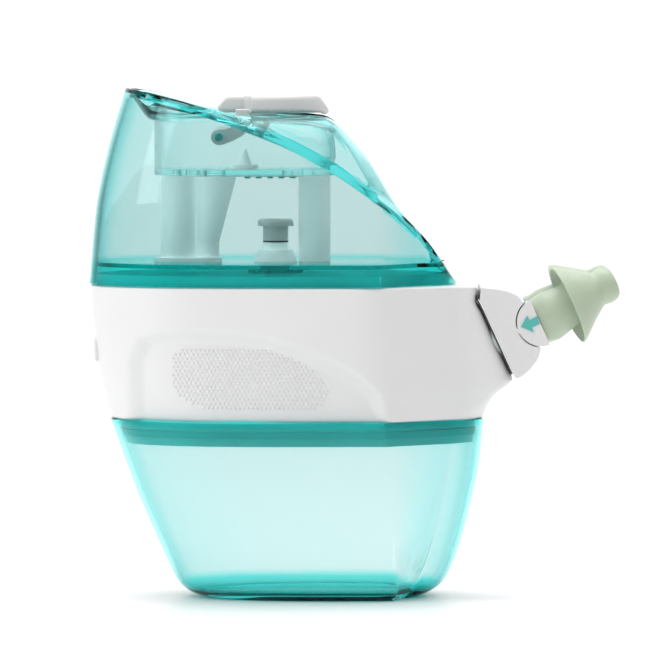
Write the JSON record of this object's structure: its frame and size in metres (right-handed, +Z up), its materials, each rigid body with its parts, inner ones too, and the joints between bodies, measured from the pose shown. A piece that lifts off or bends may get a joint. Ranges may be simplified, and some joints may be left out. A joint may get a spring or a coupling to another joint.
{
  "type": "nasal aspirator",
  "caption": "Battery powered nasal suction and rinse device with clear aqua tanks, white body, lever lid and a removable dock with two soft nose pillows.",
  "frame": {"origin": "middle of the bounding box on the surface the catch tank stands on", "axes": "+X towards the nose pillows, +Z up, +Y to the device's left as it looks along +X"},
  "size_m": [0.204, 0.096, 0.1961],
  "materials": {
    "aqua_clear": "clear tinted plastic",
    "white_shell": "fine satin",
    "white_gloss": "gloss",
    "frosted_white": "frosted",
    "silicone_sage": "translucent silicone",
    "teal_print": "gloss",
    "grey_deck": "satin",
    "dark_tray": "satin",
    "rubber_seal": "soft",
    "hose_clear": "soft tube",
    "steel": "brushed",
    "battery_skin": "gloss",
    "board": "board",
    "black_part": "moulded"
  },
  "bodies": {
    "catch_tank": {"lower_tank": "aqua_clear"},
    "powered_body": {"body_casing": "white_shell", "bottom_cover": "grey_deck", "tank_gasket": "rubber_seal", "casing_screws": "steel", "top_deck": "grey_deck", "deck_port_collar": "white_shell", "deck_port_seal": "rubber_seal", "battery_tray": "dark_tray", "battery_1": "battery_skin", "battery_2": "battery_skin", "battery_contacts": "steel", "battery_springs": "steel", "pcb": "board", "micro_switch": "black_part", "motor_can": "steel", "motor_end_cap": "black_part", "motor_cradle": "grey_deck", "pump_body": "black_part", "pump_diaphragm": "rubber_seal", "pump_clamp": "grey_deck", "suction_port": "grey_deck", "drain_spout": "grey_deck", "dock_receptacle": "grey_deck", "supply_hose": "hose_clear", "drain_hose": "hose_clear", "suction_hose": "hose_clear", "button_spring": "steel"},
    "battery_hatch": {"battery_door": "dark_tray"},
    "button": {"power_button": "white_gloss"},
    "rotor": {"motor_rotor": "steel", "pump_crank": "white_gloss"},
    "rod": {"pump_rod": "white_gloss"},
    "saline_tank": {"upper_tank_shell": "aqua_clear", "fill_mark": "teal_print", "pod_chamber": "frosted_white", "column_foot": "frosted_white", "rear_column": "frosted_white", "mixing_tube": "frosted_white", "front_column": "frosted_white", "floor_piercer": "frosted_white", "valve_seat": "frosted_white", "hinge_pins": "aqua_clear", "valve_spring": "steel"},
    "plunger": {"valve_plunger": "white_gloss", "valve_seal": "rubber_seal"},
    "lever": {"lever_lid": "white_gloss", "lid_piercer": "white_gloss"},
    "dock": {"nose_dock": "white_gloss", "dock_seals": "rubber_seal", "swivel_axle": "steel"},
    "swivel": {"swivel_barrel": "white_gloss", "flow_arrows": "teal_print"},
    "pillow_left": {"nasal_pillow_left": "silicone_sage"},
    "pillow_right": {"nasal_pillow_right": "silicone_sage"}
  },
  "joints": [
    {"name": "body_lift", "type": "slide", "parent": "catch_tank", "child": "powered_body", "axis": [0, 0, 1], "range_m": [0, 0.03]},
    {"name": "tank_lift", "type": "slide", "parent": "powered_body", "child": "saline_tank", "axis": [0, 0, 1], "range_m": [0, 0.03]},
    {"name": "lever_turn", "type": "hinge", "parent": "saline_tank", "child": "lever", "pos_m": [-0.051, 0, 0.1768], "axis": [0, -1, 0], "range_deg": [0, 72]},
    {"name": "plunger_lift", "type": "slide", "parent": "saline_tank", "child": "plunger", "axis": [0, 0, 1], "range_m": [0, 0.0024], "stiffness_N_per_m": 120, "springref_m": -0.002, "deforming": ["valve_spring"]},
    {"name": "button_press", "type": "slide", "parent": "powered_body", "child": "button", "axis": [1, 0, 0], "range_m": [0, 0.001], "stiffness_N_per_m": 400, "springref_m": -0.001, "deforming": ["button_spring"]},
    {"name": "rotor_spin", "type": "hinge", "parent": "powered_body", "child": "rotor", "pos_m": [0, -0.02, 0.094], "axis": [1, 0, 0], "continuous": true},
    {"name": "rod_stroke", "type": "slide", "parent": "powered_body", "child": "rod", "axis": [0, 0, 1], "range_m": [-0.0003, 0.0003], "deforming": ["pump_diaphragm"]},
    {"name": "hatch_drop", "type": "slide", "parent": "powered_body", "child": "battery_hatch", "axis": [0, 0, -1], "range_m": [0, 0.012]},
    {"name": "dock_pull", "type": "slide", "parent": "powered_body", "child": "dock", "axis": [0.9135, 0, 0.4067], "range_m": [0, 0.02]},
    {"name": "swivel_turn", "type": "hinge", "parent": "dock", "child": "swivel", "pos_m": [0.0717, 0, 0.1065], "axis": [0, -1, 0], "range_deg": [-20, 20]},
    {"name": "left_pillow_pull", "type": "slide", "parent": "swivel", "child": "pillow_left", "axis": [0.8997, -0.1736, 0.4006], "range_m": [0, 0.014]},
    {"name": "right_pillow_pull", "type": "slide", "parent": "swivel", "child": "pillow_right", "axis": [0.8997, 0.1736, 0.4006], "range_m": [0, 0.014]}
  ]
}
